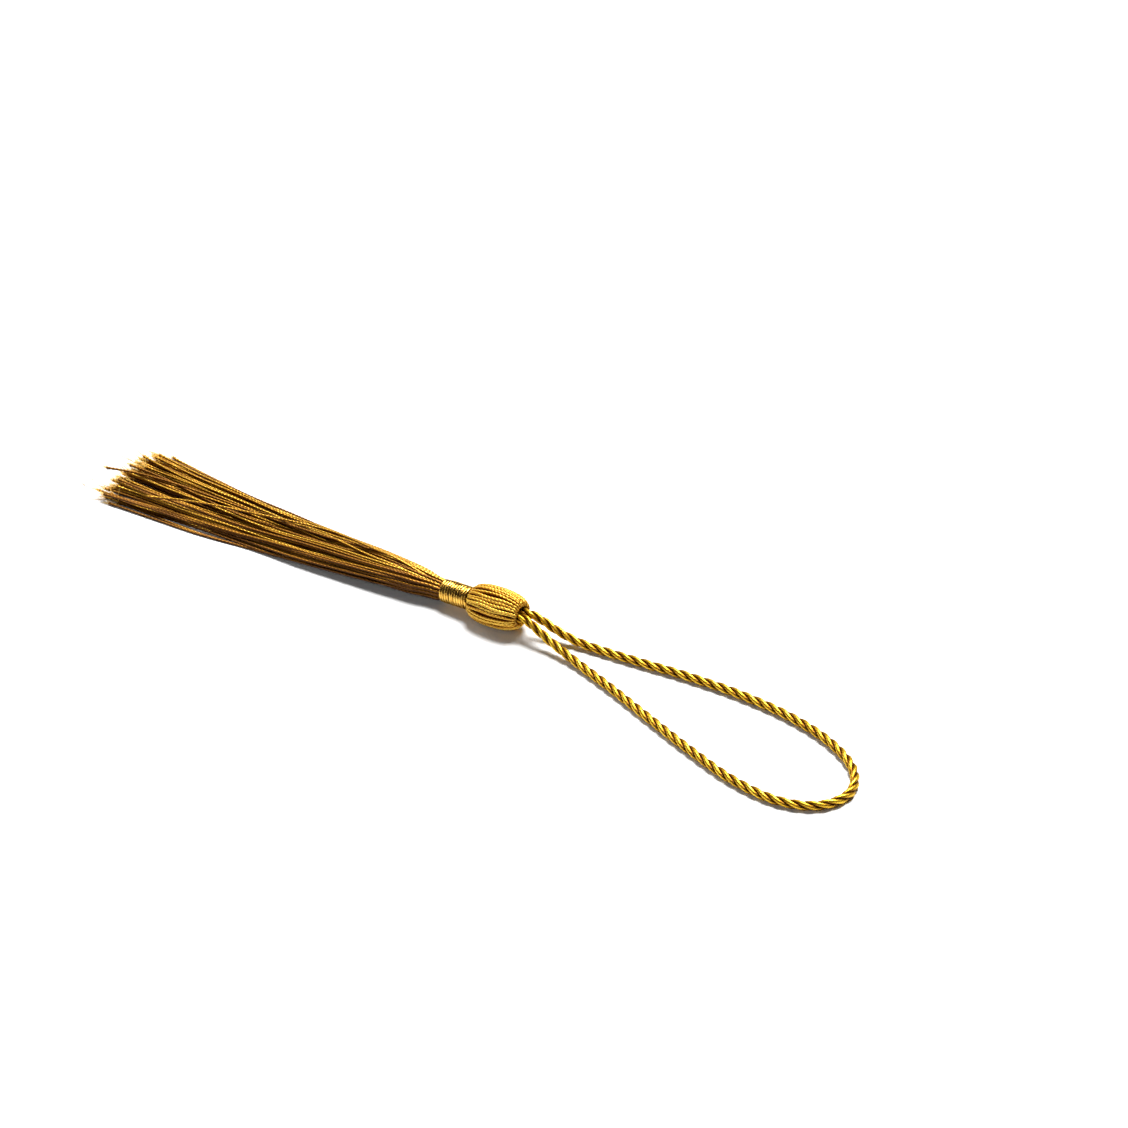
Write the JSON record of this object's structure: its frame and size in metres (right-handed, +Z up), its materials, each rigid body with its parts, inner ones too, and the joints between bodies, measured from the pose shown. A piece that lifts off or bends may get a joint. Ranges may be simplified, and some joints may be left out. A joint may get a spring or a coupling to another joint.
{
  "type": "silk tassel",
  "caption": "Silk tassel with a ribbed bulb head, wound neck binding, long loose yarn skirt and a hanging loop of twisted cord, lying flat.",
  "frame": {"origin": "middle of the flat spot on which the head rests, on the table", "axes": "+Z up from the table, +X along the tassel from the cut end of the skirt towards the hanging loop"},
  "size_m": [0.2238, 0.037, 0.0099],
  "materials": {
    "yarn": "lustrous two-ply rayon yarn",
    "binding_thread": "glossy wound thread",
    "cord": "lustrous three-ply twisted cord"
  },
  "bodies": {
    "root": {"head_and_skirt": "yarn", "neck_binding": "binding_thread", "hanging_loop": "cord"}
  },
  "joints": []
}
